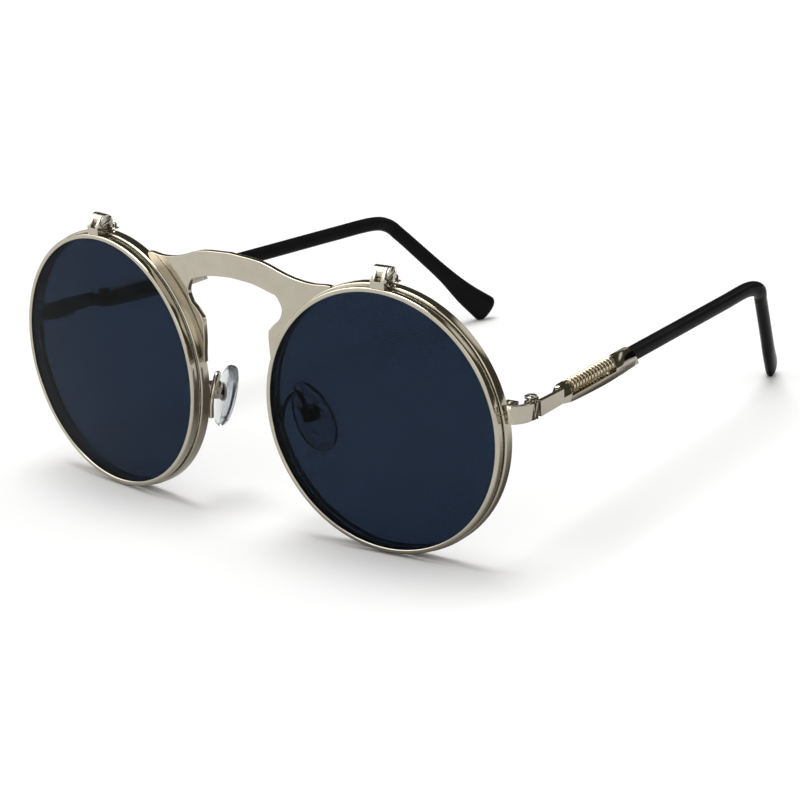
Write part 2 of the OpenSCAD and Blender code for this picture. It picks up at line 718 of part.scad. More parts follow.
// The spring is one wire: a straight end against each block and turns of even pitch between
function spring_point(s, a) =
    [s, spring_t + spring_r * sin(a), spring_z - spring_r * cos(a)];
spring_start = notch_start + solder_gap;
spring_end = notch_end - solder_gap;
spring_path = concat(
    [spring_point(spring_start, 0)],
    [for (i = [0:spring_turns * 360 / ring_turn])
        spring_point(spring_start + wire_d + spring_pitch * i * ring_turn / 360, i * ring_turn)],
    [spring_point(spring_end, 0)]);
function spring_out(i) =
    let (p = spring_path[i]) unit([0, p[1] - spring_t, p[2] - spring_z]);
function spring_ring(i) =
    let (dir = heading(spring_path, i), b = unit(cross(dir, spring_out(i))))
    ring(spring_path[i], cross(b, dir), b, wire_d / 2, wire_d / 2, wire_sides);
module temple_spring(side) {
    color(bright) bar_frame(side) skin([for (i = [0:len(spring_path) - 1]) spring_ring(i)]);
}
spring_self_gap = min([for (i = [0:len(spring_path) - 1])
    for (j = [i + 5:1:len(spring_path) - 1]) norm(spring_path[i] - spring_path[j])]) - wire_d;
echo(spring_self_gap = spring_self_gap);

// The tip's middle line, in the frame of the bar
function tip_point(run, z) =
    let (s = bend_s + run * cos(tip_in))
    [s, tip_mid_t + run * sin(tip_in),
     (z - leaf_mid_z + s * sin(temple_tilt)) / cos(temple_tilt)];
tip_start = [[bar_end - bar_slant, tip_mid_t, 0], [bar_end + 20, tip_mid_t, 0],
             [bend_s - 16, tip_mid_t, 0], [bend_s - 5, tip_mid_t + 0.12, -0.1]];
tip_knots = concat(tip_start,
    [for (c = tip_course) tip_point(tip_run * c[0], bend_drop - tip_drop * c[1])]);
tip_steps = 3;
tip_path = curve(tip_knots, tip_steps);
tip_sizes = curve([for (i = [0:len(tip_knots) - 1])
    i < len(tip_start) ? [0, 0] : [tip_growth[i - len(tip_start)], 0]], tip_steps);
tip_last = len(tip_path) - 1;
tip_dir = heading(tip_path, tip_last);
tip_side = unit(cross([0, 0, 1], tip_dir));
function tip_half_h(i) = tip_h / 2 + (paddle_h - tip_h) / 2 * tip_sizes[i][0];
tip_rings = concat(
    [for (i = [0:tip_last]) level_ring(tip_path, i, tip_t / 2, tip_half_h(i), tip_sides)],
    [for (i = [1:cap_steps]) let (a = 80 * i / cap_steps)
        ring(tip_path[tip_last] + tip_dir * cap_len * sin(a), tip_side, cross(tip_dir, tip_side),
             tip_t / 2 * pow(cos(a), cap_square_t), paddle_h / 2 * pow(cos(a), cap_square_h),
             tip_sides)]);

// Reach of the whole object from front to back, whose middle is over the origin
function bar_reach(p) =
    hinge_y + (p[0] * cos(temple_tilt) + p[2] * sin(temple_tilt)) * cos(temple_in)
    - p[1] * sin(temple_in);
back_y = max([for (r = tip_rings) for (p = r) bar_reach(p)]);
front_y = -flip_r * sin(wrap_angle);
mid_y = (front_y + back_y) / 2;

// A point of the slanted line along which the tip meets the bar, carried on past the bar
function tip_cut(share) =
    let (low = [bar_end + bar_slant / 2 + tip_gap, -temple_belly + bar_rear_rise],
         high = [bar_end - bar_slant / 2 + tip_gap, temple_top])
    low + (high - low) * share;

module temple_tip(side) {
    color(acetate) difference() {
        bar_frame(side) difference() {
            skin(tip_rings);
            rotate([90, 0, 0]) translate([0, 0, -far / 2]) linear_extrude(far)
                polygon([[0, -far / 4], tip_cut(-1), tip_cut(2), [0, far / 4]]);
            translate([0, tip_mid_t, 0]) rotate([0, 90, 0])
                cylinder(d = core_d + 2 * solder_gap, h = bar_end + core_len + cap_gap, $fn = SMALL);
        }
        translate([-far * 2, -far * 2, -far]) cube([far * 4, far * 4, far]);
    }
}

// Nose pads

// A point of the pad's frame, in the frame of its rim
function pad_point(p) =
    let (x = p[0] * cos(pad_turn) - p[1] * sin(pad_turn),
         y = p[0] * sin(pad_turn) + p[1] * cos(pad_turn))
    [pad_u + x * cos(pad_splay) - p[2] * sin(pad_splay), pad_v + y,
     pad_z + x * sin(pad_splay) + p[2] * cos(pad_splay)];
box_top_z = pivot_z + box_h / 2;
arm_course = [[-fixed_r + 1.15, fixed_back_v + arm_d / 2 + solder_gap, pad_z - 2.3],
              [-fixed_r + 0.75, fixed_back_v + arm_d / 2 + solder_gap, pad_z + 0.9],
              [-fixed_r + 0.95, fixed_back_v + 1.5, pad_z + 3.5],
              [-fixed_r + 1.6, fixed_back_v + 3, pad_z + 5.4],
              pad_point([-0.1, pivot_y - 0.1, box_top_z + 2.5]),
              pad_point([0, pivot_y, box_top_z + 1]),
              pad_point([0, pivot_y, box_top_z - 0.3])];
function arm_ring(p, i) =
    let (dir = heading(p, i), side = unit(cross([0, 1, 0.2], dir)))
    ring(p[i], side, cross(dir, side), arm_d / 2, arm_d / 2, 8);
module pad_box() {
    difference() {
        translate([-box_w / 2, box_back_y, pivot_z - box_h / 2]) cube([box_w, box_d, box_h]);
        translate([-lug_w / 2 - cheek_gap, box_back_y + box_wall, pivot_z - box_h])
            cube([lug_w + 2 * cheek_gap, box_d, box_h + lug_r + 2 * lug_gap]);
        translate([-far / 2, pivot_y, pivot_z]) rotate([0, 90, 0])
            cylinder(r = pad_screw_r + solder_gap, h = far, $fn = SMALL);
    }
}
module pad_arm(side) {
    p = curve(arm_course, 4);
    color(metal) {
        rim_frame(side) skin([for (i = [0:len(p) - 1]) arm_ring(p, i)]);
        pad_frame(side) pad_box();
    }
}
module pad_insert(side) {
    color(dark_steel) pad_frame(side) difference() {
        union() {
            translate([0, insert_y, insert_z]) rotate([-90, 0, 0])
                cylinder(r = insert_r, h = insert_t, $fn = SMALL);
            along_x(-lug_w / 2, lug_w / 2) {
                translate([pivot_y, pivot_z]) circle(r = lug_r, $fn = SMALL);
                translate([pivot_y, pivot_z - lug_r])
                    square([insert_y + insert_t / 4 - pivot_y, 2 * lug_r]);
            }
        }
        translate([-far / 2, pivot_y, pivot_z]) rotate([0, 90, 0])
            cylinder(r = pad_screw_r + pin_fit, h = far, $fn = SMALL);
    }
}
pad_rings = 12;
function pad_ring(i) =
    let (a = -84 + 168 * i / pad_rings, z = pad_len / 2 * sin(a), narrow = 1 - 0.12 * sin(a),
         w = pad_w / 2 * cos(a) * narrow, back = (pad_t - pad_front) * sqrt(cos(a)),
         front = pad_front * sqrt(cos(a)))
    [for (k = [0:tip_sides - 1]) let (b = 360 * (k + 0.5) / tip_sides)
        [w * cos(b), (sin(b) > 0 ? back : front) * sin(b), z]];
module nose_pad(side) {
    color(silicone) pad_frame(side) difference() {
        skin([for (i = [0:pad_rings]) pad_ring(i)]);
        translate([0, insert_y - solder_gap, insert_z]) rotate([-90, 0, 0])
            cylinder(r = insert_r + solder_gap, h = insert_t + 2 * solder_gap, $fn = SMALL);
        translate([-lug_w / 2 - solder_gap, -far, pivot_z - lug_r - solder_gap])
            cube([lug_w + 2 * solder_gap, far, 2 * (lug_r + solder_gap)]);
    }
}
module pad_screw(side) {
    color(bright) pad_frame(side) translate([0, pivot_y, pivot_z]) rotate([0, 90, 0]) union() {
        translate([0, 0, -box_w / 2])
            cylinder(r = pad_screw_r, h = box_w + 5 * solder_gap, $fn = SMALL);
        translate([0, 0, box_w / 2 + solder_gap])
            cylinder(r = pad_head_r, h = pad_head_t, $fn = SMALL);
    }
}

fixed_rim(RIGHT);  // fixed_rim_right
fixed_rim(LEFT);  // fixed_rim_left
clear_lens(RIGHT);  // clear_lens_right
clear_lens(LEFT);  // clear_lens_left
bridge_plate();
flip_bracket(RIGHT);  // flip_bracket_right
flip_bracket(LEFT);  // flip_bracket_left
flip_rim(RIGHT);  // flip_rim_right
flip_rim(LEFT);  // flip_rim_left
dark_lens(RIGHT);  // dark_lens_right
dark_lens(LEFT);  // dark_lens_left
flip_tab(RIGHT);  // flip_tab_right
flip_tab(LEFT);  // flip_tab_left
flip_screw(RIGHT);  // flip_screw_right
flip_screw(LEFT);  // flip_screw_left
end_piece(RIGHT);  // end_piece_right
end_piece(LEFT);  // end_piece_left
closing_blocks(RIGHT);  // closing_blocks_right
closing_blocks(LEFT);  // closing_blocks_left
closing_screw(RIGHT);  // closing_screw_right
closing_screw(LEFT);  // closing_screw_left
temple_screw(RIGHT);  // temple_screw_right
temple_screw(LEFT);  // temple_screw_left
temple_leaf(RIGHT);  // temple_leaf_right
temple_leaf(LEFT);  // temple_leaf_left
temple_bar(RIGHT);  // temple_bar_right
temple_bar(LEFT);  // temple_bar_left
spring_rod(RIGHT);  // spring_rod_right
spring_rod(LEFT);  // spring_rod_left
temple_spring(RIGHT);  // temple_spring_right
temple_spring(LEFT);  // temple_spring_left
temple_tip(RIGHT);  // temple_tip_right
temple_tip(LEFT);  // temple_tip_left
pad_arm(RIGHT);  // pad_arm_right
pad_arm(LEFT);  // pad_arm_left
pad_insert(RIGHT);  // pad_insert_right
pad_insert(LEFT);  // pad_insert_left
nose_pad(RIGHT);  // nose_pad_right
nose_pad(LEFT);  // nose_pad_left
pad_screw(RIGHT);  // pad_screw_right
pad_screw(LEFT);  // pad_screw_left
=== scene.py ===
"""Looks of the round flip-up sunglasses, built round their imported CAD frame.

Lengths are written in millimetres, as in the part's source, and turned into metres when a mesh
is made. A right-hand piece is on +X, and a left-hand one is its mirror image.
"""

import math

import bmesh
import bpy
from mathutils import Matrix, Vector

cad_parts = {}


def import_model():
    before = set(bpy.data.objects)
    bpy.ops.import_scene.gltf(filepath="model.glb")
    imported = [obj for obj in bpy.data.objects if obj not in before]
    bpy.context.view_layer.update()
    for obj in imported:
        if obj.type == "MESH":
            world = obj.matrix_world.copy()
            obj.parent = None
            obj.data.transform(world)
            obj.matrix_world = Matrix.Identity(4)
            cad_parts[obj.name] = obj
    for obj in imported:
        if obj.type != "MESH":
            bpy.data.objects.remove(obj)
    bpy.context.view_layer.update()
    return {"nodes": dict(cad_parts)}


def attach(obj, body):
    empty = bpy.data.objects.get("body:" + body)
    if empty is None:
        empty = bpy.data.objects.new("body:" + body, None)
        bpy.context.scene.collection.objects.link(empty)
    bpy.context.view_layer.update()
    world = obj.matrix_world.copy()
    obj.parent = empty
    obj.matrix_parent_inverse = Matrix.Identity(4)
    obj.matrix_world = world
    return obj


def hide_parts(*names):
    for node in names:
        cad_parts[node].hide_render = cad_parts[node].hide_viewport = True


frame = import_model()

MM = 0.001
SIDES = {"right": 1, "left": -1}

# Sizes shared with the part's source
LENS_R = 24.5
LENS_GAP = 20.3
WRAP = math.radians(6.2)
LENS_T = 1.1
LENS_CURVE_R = 250
FLIP_RIM_W = 0.9
FLIP_RIM_D = 1.5
FIXED_RIM_W = 1.3
FIXED_RIM_D = 2.15
RIM_GAP = 0.35
GROOVE_D = 0.45
GROOVE_HW = 0.42
RIM_EDGE_R = 0.3
RIM_LIP_R = 0.15
SPLIT_GAP = 0.12
BRIDGE_T = 1.1
BRIDGE_RISE = 1.1
BRIDGE_H = 4.8
BRIDGE_BOW_R = 143
BRIDGE_BACK = 1.15
BRIDGE_EDGE_R = 0.16
BRIDGE_CUT_REACH = 22
BRIDGE_CUT_STEP = 2
BRIDGE_CUT_SNAP = 0.03
END_OUT = 1
END_LEN = 7.7
END_FRONT_Z = 4.6
TEMPLE_GAP = 0.6
TEMPLE_IN = math.radians(7)
TEMPLE_TILT = math.radians(1.45)
TEMPLE_T = 2.8
TEMPLE_TOP = 1.8
TEMPLE_BELLY = 2.3
RAIL_H = 1.4
BAR_START = 8.6
FRONT_BLOCK_LEN = 2.9
NOTCH_LEN = 16.5
REAR_BLOCK_LEN = 7.5
BAR_SLANT = 2
BAR_REAR_RISE = 0.6
LEAF_MID_Z = 3.35
SPRING_D = 2.7
WIRE_D = 0.6
SPRING_TURNS = 14
SPRING_RAIL_GAP = 0.12
BEND_S = 89.4
TIP_IN = math.radians(20.6)
TIP_RUN = 22.6
TIP_H = 3.1
TIP_T = 2.6
PADDLE_H = 6.2
TIP_LOW = 0.415
TIP_GAP = 0.03
CAP_LEN = 1.7
CAP_SQUARE_H = 0.55
CAP_SQUARE_T = 0.75
PAD_LEN = 14
PAD_W = 7.4
PAD_T = 2.8
PAD_FRONT = 0.9
PAD_TAPER = 0.12
PAD_END_ANGLE = 86
PAD_SPLAY = math.radians(25)
PAD_TURN = math.radians(25)
ARM_D = 1
SOLDER_GAP = 0.02
LENS_FIT = 0.03

# Facets of the finer meshes
RIM_STEPS = 240
LENS_STEPS = 180
LENS_RINGS = 14
SPRING_STEPS = 28
WIRE_SIDES = 14
ARM_SIDES = 18
PAD_RINGS = 28
PAD_SIDES = 40
TIP_FINE = (10, 40, 9)
TIP_SOLID = (3, 16, 4)

SPACING = 2 * LENS_R + LENS_GAP
FLIP_R = LENS_R + FLIP_RIM_W
FIXED_R = LENS_R + FIXED_RIM_W
FIXED_V = FLIP_RIM_D + RIM_GAP
FIXED_BACK_V = FIXED_V + FIXED_RIM_D
REST_Z = FIXED_R
END_X = SPACING / 2 + FIXED_R * math.cos(WRAP) + END_OUT
HINGE_Y = (FIXED_R * math.sin(WRAP) + FIXED_V * math.cos(WRAP) + 0.2) + END_LEN + TEMPLE_GAP
NOTCH_START = BAR_START + FRONT_BLOCK_LEN
NOTCH_END = NOTCH_START + NOTCH_LEN
BAR_END = NOTCH_END + REAR_BLOCK_LEN
RAIL_Z = RAIL_H - TEMPLE_BELLY
PAD_U = -(LENS_R - 2.45)
PAD_V = FIXED_BACK_V + 6.4
PAD_Z = -5.3
PIVOT_Y = -2.35
PIVOT_Z = 1.3
BOX_TOP_Z = PIVOT_Z + 1.5


# Frames: each turns a point of its own frame, on the right-hand side, into one of the front's frame

def rim_point(p):
    u, v, z = p
    x = SPACING / 2 + u * math.cos(WRAP) - v * math.sin(WRAP)
    y = u * math.sin(WRAP) + v * math.cos(WRAP)
    return Vector((x, y, z))


def bar_point(p):
    along, inward, up = p
    s = along * math.cos(TEMPLE_TILT) + up * math.sin(TEMPLE_TILT)
    z = LEAF_MID_Z - along * math.sin(TEMPLE_TILT) + up * math.cos(TEMPLE_TILT)
    x = END_X - s * math.sin(TEMPLE_IN) - inward * math.cos(TEMPLE_IN)
    y = HINGE_Y + s * math.cos(TEMPLE_IN) - inward * math.sin(TEMPLE_IN)
    return Vector((x, y, z))


def pad_in_rim(p):
    x = p[0] * math.cos(PAD_TURN) - p[1] * math.sin(PAD_TURN)
    y = p[0] * math.sin(PAD_TURN) + p[1] * math.cos(PAD_TURN)
    return Vector((PAD_U + x * math.cos(PAD_SPLAY) - p[2] * math.sin(PAD_SPLAY), PAD_V + y,
                   PAD_Z + x * math.sin(PAD_SPLAY) + p[2] * math.cos(PAD_SPLAY)))


def pad_point(p):
    return rim_point(pad_in_rim(p))


def front_point(p):
    return Vector(p)


# Curves and meshes

def arc(centre, radius, start, end, steps):
    angles = [math.radians(start + (end - start) * i / steps) for i in range(steps + 1)]
    return [(centre[0] + radius * math.cos(a), centre[1] + radius * math.sin(a)) for a in angles]


def sag(r):
    return LENS_CURVE_R - math.sqrt(LENS_CURVE_R ** 2 - r * r)


def smooth_curve(points, steps):
    """A curve through the points, the same one as in the part's source."""
    p = [Vector(q) for q in points]
    p = [2 * p[0] - p[1]] + p + [2 * p[-1] - p[-2]]
    out = []
    for a, b, c, d in zip(p, p[1:], p[2:], p[3:]):
        for j in range(steps):
            t = j / steps
            out.append(0.5 * (2 * b + (c - a) * t + (2 * a - 5 * b + 4 * c - d) * t * t
                              + (3 * b - a - 3 * c + d) * t ** 3))
    return out + [p[-2]]


def new_object(name, verts, faces):
    mesh = bpy.data.meshes.new(name)
    mesh.from_pydata([tuple(v) for v in verts], [], faces)
    mesh.update()
    obj = bpy.data.objects.new(name, mesh)
    bpy.context.collection.objects.link(obj)
    return obj


def placed(name, side, point, verts, faces):
    """A mesh whose points are moved by a frame's function, and mirrored on the left."""
    moved = []
    for v in verts:
        p = point(v)
        moved.append(((p.x * side) * MM, (p.y - MID_Y) * MM, (p.z + REST_Z) * MM))
    if side < 0:
        faces = [tuple(reversed(f)) for f in faces]
    obj = new_object(name, moved, faces)
    face_outwards(obj)
    return obj


def face_outwards(obj):
    work = bmesh.new()
    work.from_mesh(obj.data)
    bmesh.ops.recalc_face_normals(work, faces=work.faces)
    work.to_mesh(obj.data)
    work.free()


def shade(obj, angle=35):
    for polygon in obj.data.polygons:
        polygon.use_smooth = True
    obj.data.set_sharp_from_angle(angle=math.radians(angle))


def lathe(profile, steps, gap=0.0):
    """A closed profile of (radius, depth) points turned about the rim's axis.

    With a gap, in degrees, the ring is open at its outer side and has flat ends there.
    """
    verts, faces = [], []
    count = len(profile)
    rings = steps + 1 if gap else steps
    for i in range(rings):
        turn = math.radians(gap / 2 + (360 - gap) * i / steps)
        verts += [(r * math.cos(turn), v, r * math.sin(turn)) for r, v in profile]
    for i in range(steps):
        for k in range(count):
            a, b = i * count + k, i * count + (k + 1) % count
            c, d = (i + 1) % rings * count + (k + 1) % count, (i + 1) % rings * count + k
            faces.append((a, b, c, d))
    if gap:
        faces.append(tuple(range(count)))
        faces.append(tuple(reversed(range(steps * count, (steps + 1) * count))))
    return verts, faces


def disc_lathe(front, back, steps):
    """A lens: its front and back profiles both start on the axis and share their last point."""
    verts, faces = [], []
    rows = front[1:] + list(reversed(back[1:-1]))
    for i in range(steps):
        a = 2 * math.pi * i / steps
        verts += [(r * math.cos(a), v, r * math.sin(a)) for r, v in rows]
    count = len(rows)
    for i in range(steps):
        j = (i + 1) % steps
        for k in range(count - 1):
            faces.append((i * count + k, i * count + k + 1, j * count + k + 1, j * count + k))
    verts += [(0, front[0][1], 0), (0, back[0][1], 0)]
    for i in range(steps):
        j = (i + 1) % steps
        faces.append((steps * count, i * count, j * count))
        faces.append((steps * count + 1, (j + 1) * count - 1, (i + 1) * count - 1))
    return verts, faces


def heading(path, i):
    return (path[min(i + 1, len(path) - 1)] - path[max(i - 1, 0)]).normalized()


def ring_points(centre, side, up, a, b, sides):
    angles = [2 * math.pi * (k + 0.5) / sides for k in range(sides)]
    return [centre + side * a * math.cos(q) + up * b * math.sin(q) for q in angles]


def skin(rings):
    sides = len(rings[0])
    verts = [p for ring in rings for p in ring]
    faces = []
    for i in range(len(rings) - 1):
        for k in range(sides):
            m = (k + 1) % sides
            faces.append((i * sides + k, (i + 1) * sides + k, (i + 1) * sides + m, i * sides + m))
    faces.append(tuple(range(sides)))
    faces.append(tuple(reversed(range((len(rings) - 1) * sides, len(rings) * sides))))
    return verts, faces


def finished_copy(node):
    """A copy of a CAD node's mesh with smooth round faces and crisp flat ones."""
    obj = bpy.data.objects.new(node + "_finish", frame["nodes"][node].data.copy())
    bpy.context.collection.objects.link(obj)
    obj.matrix_world = frame["nodes"][node].matrix_world.copy()
    work = bmesh.new()
    work.from_mesh(obj.data)
    bmesh.ops.remove_doubles(work, verts=work.verts, dist=0.002 * MM)
    bmesh.ops.recalc_face_normals(work, faces=work.faces)
    work.to_mesh(obj.data)
    work.free()
    shade(obj, 30)
    return obj


# Materials

def new_material(name):
    material = bpy.data.materials.new(name)
    material.use_nodes = True
    nodes = material.node_tree.nodes
    return material, nodes, material.node_tree.links, nodes["Principled BSDF"]


def noise(nodes, links, scale, detail=3.0, stretch=None):
    texture = nodes.new("ShaderNodeTexNoise")
    texture.inputs["Scale"].default_value = scale
    texture.inputs["Detail"].default_value = detail
    place = nodes.new("ShaderNodeTexCoord")
    if stretch:
        mapping = nodes.new("ShaderNodeMapping")
        mapping.inputs["Scale"].default_value = stretch
        links.new(place.outputs["Object"], mapping.inputs["Vector"])
        links.new(mapping.outputs["Vector"], texture.inputs["Vector"])
    else:
        links.new(place.outputs["Object"], texture.inputs["Vector"])
    return texture.outputs["Fac"]


def ramp(nodes, links, source, low, high, start=0.35, end=0.65):
    node = nodes.new("ShaderNodeMapRange")
    node.inputs["From Min"].default_value = start
    node.inputs["From Max"].default_value = end
    node.inputs["To Min"].default_value = low
    node.inputs["To Max"].default_value = high
    links.new(source, node.inputs["Value"])
    return node.outputs["Result"]


def colour_mix(nodes, links, source, dark, light):
    node = nodes.new("ShaderNodeMix")
    node.data_type = "RGBA"
    node.inputs["A"].default_value = (*dark, 1)
    node.inputs["B"].default_value = (*light, 1)
    links.new(source, node.inputs["Factor"])
    return node.outputs["Result"]


def bump(nodes, links, source, strength, depth_mm, shader, edge_mm=0):
    """Fine unevenness, and with an edge radius also soft edges where faces meet."""
    node = nodes.new("ShaderNodeBump")
    node.inputs["Strength"].default_value = strength
    node.inputs["Distance"].default_value = depth_mm * MM
    links.new(source, node.inputs["Height"])
    if edge_mm:
        edge = nodes.new("ShaderNodeBevel")
        edge.samples = 6
        edge.inputs["Radius"].default_value = edge_mm * MM
        links.new(edge.outputs["Normal"], node.inputs["Normal"])
    links.new(node.outputs["Normal"], shader.inputs["Normal"])


def metal_material(name, dark, light, rough_low, rough_high, edge_mm=0.12, scratch=0.02):
    material, nodes, links, shader = new_material(name)
    shader.inputs["Metallic"].default_value = 1
    cloud = noise(nodes, links, 260, 4)
    links.new(colour_mix(nodes, links, ramp(nodes, links, cloud, 0, 1), dark, light),
              shader.inputs["Base Color"])
    wear = noise(nodes, links, 900, 5)
    links.new(ramp(nodes, links, wear, rough_low, rough_high), shader.inputs["Roughness"])
    fine = noise(nodes, links, 2600, 2, (1, 0.12, 1))
    bump(nodes, links, fine, scratch, 0.01, shader, edge_mm)
    return material


def lens_material(name, tint, ior, shadow):
    """Clear or smoked plastic; a lamp's light passes straight through it in shadows."""
    material, nodes, links, shader = new_material(name)
    shader.inputs["Base Color"].default_value = (*tint, 1)
    shader.inputs["Transmission Weight"].default_value = 1
    shader.inputs["IOR"].default_value = ior
    smear = noise(nodes, links, 60, 3)
    links.new(ramp(nodes, links, smear, 0.001, 0.006), shader.inputs["Roughness"])
    clear = nodes.new("ShaderNodeBsdfTransparent")
    clear.inputs["Color"].default_value = (*shadow, 1)
    rays = nodes.new("ShaderNodeLightPath")
    mix = nodes.new("ShaderNodeMixShader")
    links.new(rays.outputs["Is Shadow Ray"], mix.inputs["Fac"])
    links.new(shader.outputs["BSDF"], mix.inputs[1])
    links.new(clear.outputs["BSDF"], mix.inputs[2])
    links.new(mix.outputs["Shader"], nodes["Material Output"].inputs["Surface"])
    return material


def acetate_material():
    material, nodes, links, shader = new_material("black acetate")
    cloud = noise(nodes, links, 120, 3)
    links.new(colour_mix(nodes, links, cloud, (0.004, 0.004, 0.005), (0.012, 0.012, 0.013)),
              shader.inputs["Base Color"])
    links.new(ramp(nodes, links, noise(nodes, links, 500, 4), 0.14, 0.24),
              shader.inputs["Roughness"])
    shader.inputs["IOR"].default_value = 1.3
    shader.inputs["Specular IOR Level"].default_value = 0.06
    bump(nodes, links, noise(nodes, links, 300, 2), 0.04, 0.05, shader)
    return material


def silicone_material():
    material, nodes, links, shader = new_material("clear silicone")
    shader.inputs["Base Color"].default_value = (0.93, 0.95, 0.96, 1)
    shader.inputs["Transmission Weight"].default_value = 1
    shader.inputs["IOR"].default_value = 1.41
    links.new(ramp(nodes, links, noise(nodes, links, 400, 3), 0.06, 0.16),
              shader.inputs["Roughness"])
    bump(nodes, links, noise(nodes, links, 700, 2), 0.05, 0.03, shader)
    haze = nodes.new("ShaderNodeVolumeAbsorption")
    haze.inputs["Color"].default_value = (0.62, 0.64, 0.65, 1)
    haze.inputs["Density"].default_value = 200
    links.new(haze.outputs["Volume"], nodes["Material Output"].inputs["Volume"])
    return material


POLISHED = metal_material("polished nickel", (0.495, 0.46, 0.39), (0.53, 0.495, 0.42), 0.08, 0.12)
BRIGHT = metal_material("bright screw steel", (0.52, 0.5, 0.45), (0.62, 0.6, 0.54), 0.12, 0.22)
SPRING = metal_material("spring wire", (0.62, 0.54, 0.4), (0.72, 0.64, 0.49), 0.1, 0.18)
STEEL = metal_material("dark stamped steel", (0.16, 0.155, 0.14), (0.24, 0.23, 0.21), 0.25, 0.4)
SMOKED = lens_material("smoked lens", (0.013, 0.0225, 0.042), 1.12, (0.12, 0.13, 0.16))
CLEAR = lens_material("clear lens", (0.96, 0.975, 0.98), 1.22, (0.92, 0.93, 0.94))
ACETATE = acetate_material()
SILICONE = silicone_material()


def piece(obj, body, slot, material, *nodes):
    """Puts a finished piece, with its material, on its body in place of its CAD nodes; the slot is not
    used.
    """
    obj.data.materials.clear()
    obj.data.materials.append(material)
    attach(obj, body)
    if nodes:
        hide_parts(*nodes)


# The tip's middle line, in the frame of the bar, as in the part's source. Its course is given as
# shares of the run back and of the drop from the bend, and its growth as the paddle's share.

TIP_COURSE = [(0, 0.06), (0.13, 0.17), (0.28, 0.315), (0.58, 0.61), (0.8, 0.83), (1, 1)]
TIP_GROWTH = [0, 0, 0.02, 0.14, 0.58, 1]
BEND_DROP = LEAF_MID_Z - BEND_S * math.sin(TEMPLE_TILT)
TIP_DROP = BEND_DROP - (TIP_LOW * PADDLE_H - REST_Z)
TIP_MID = TEMPLE_T / 2
TIP_START = [(BAR_END - BAR_SLANT, TIP_MID, 0), (BAR_END + 20, TIP_MID, 0),
             (BEND_S - 16, TIP_MID, 0), (BEND_S - 5, TIP_MID + 0.12, -0.1)]


def tip_knot(run, z):
    s = BEND_S + run * math.cos(TIP_IN)
    return (s, TIP_MID + run * math.sin(TIP_IN),
            (z - LEAF_MID_Z + s * math.sin(TEMPLE_TILT)) / math.cos(TEMPLE_TILT))


def tip_rings(steps, sides, cap_steps):
    """Rings along the tip, given the steps from knot to knot, the sides and the cap's steps."""
    knots = TIP_START + [tip_knot(TIP_RUN * a, BEND_DROP - TIP_DROP * b) for a, b in TIP_COURSE]
    growth = [(0, 0, 0)] * len(TIP_START) + [(g, 0, 0) for g in TIP_GROWTH]
    path = smooth_curve(knots, steps)
    sizes = smooth_curve(growth, steps)
    rings = []
    for i, centre in enumerate(path):
        direction = heading(path, i)
        side = Vector((0, 0, 1)).cross(direction).normalized()
        half_h = TIP_H / 2 + (PADDLE_H - TIP_H) / 2 * sizes[i][0]
        rings.append(ring_points(centre, side, direction.cross(side), TIP_T / 2, half_h, sides))
    direction = heading(path, len(path) - 1)
    side = Vector((0, 0, 1)).cross(direction).normalized()
    for i in range(1, cap_steps + 1):
        a = math.radians(80 * i / cap_steps)
        rings.append(ring_points(path[-1] + direction * CAP_LEN * math.sin(a), side,
                                 direction.cross(side), TIP_T / 2 * math.cos(a) ** CAP_SQUARE_T,
                                 PADDLE_H / 2 * math.cos(a) ** CAP_SQUARE_H, sides))
    return rings


FRONT_Y = -FLIP_R * math.sin(WRAP)
BACK_Y = max(bar_point(p).y for ring in tip_rings(*TIP_SOLID) for p in ring)
MID_Y = (FRONT_Y + BACK_Y) / 2


# Rims and lenses

def rim_profile(width, depth):
    groove = [(LENS_R, depth / 2 + GROOVE_HW), (LENS_R + GROOVE_D, depth / 2),
              (LENS_R, depth / 2 - GROOVE_HW)]
    return (arc((LENS_R + width - RIM_EDGE_R, RIM_EDGE_R), RIM_EDGE_R, -90, 0, 6)
            + arc((LENS_R + width - RIM_EDGE_R, depth - RIM_EDGE_R), RIM_EDGE_R, 0, 90, 6)
            + arc((LENS_R + RIM_LIP_R, depth - RIM_LIP_R), RIM_LIP_R, 90, 180, 3) + groove
            + arc((LENS_R + RIM_LIP_R, RIM_LIP_R), RIM_LIP_R, 180, 270, 3))


def flip_rim(name, side):
    verts, faces = lathe(rim_profile(FLIP_RIM_W, FLIP_RIM_D), RIM_STEPS)
    obj = placed("flip_rim_wire_" + name, side, rim_point, verts, faces)
    shade(obj, 50)
    piece(obj, "flip_" + name, "polished_metal", POLISHED, "flip_rim_" + name)


def fixed_rim(name, side):
    profile = [(r, v + FIXED_V) for r, v in rim_profile(FIXED_RIM_W, FIXED_RIM_D)]
    verts, faces = lathe(profile, RIM_STEPS, math.degrees(SPLIT_GAP / FIXED_R))
    turn = math.asin(END_FRONT_Z / FIXED_R)
    verts = [(x * math.cos(turn) - z * math.sin(turn), y, x * math.sin(turn) + z * math.cos(turn))
             for x, y, z in verts]
    obj = placed("fixed_rim_wire_" + name, side, rim_point, verts, faces)
    shade(obj, 50)
    piece(obj, "front", "polished_metal", POLISHED, "fixed_rim_" + name)


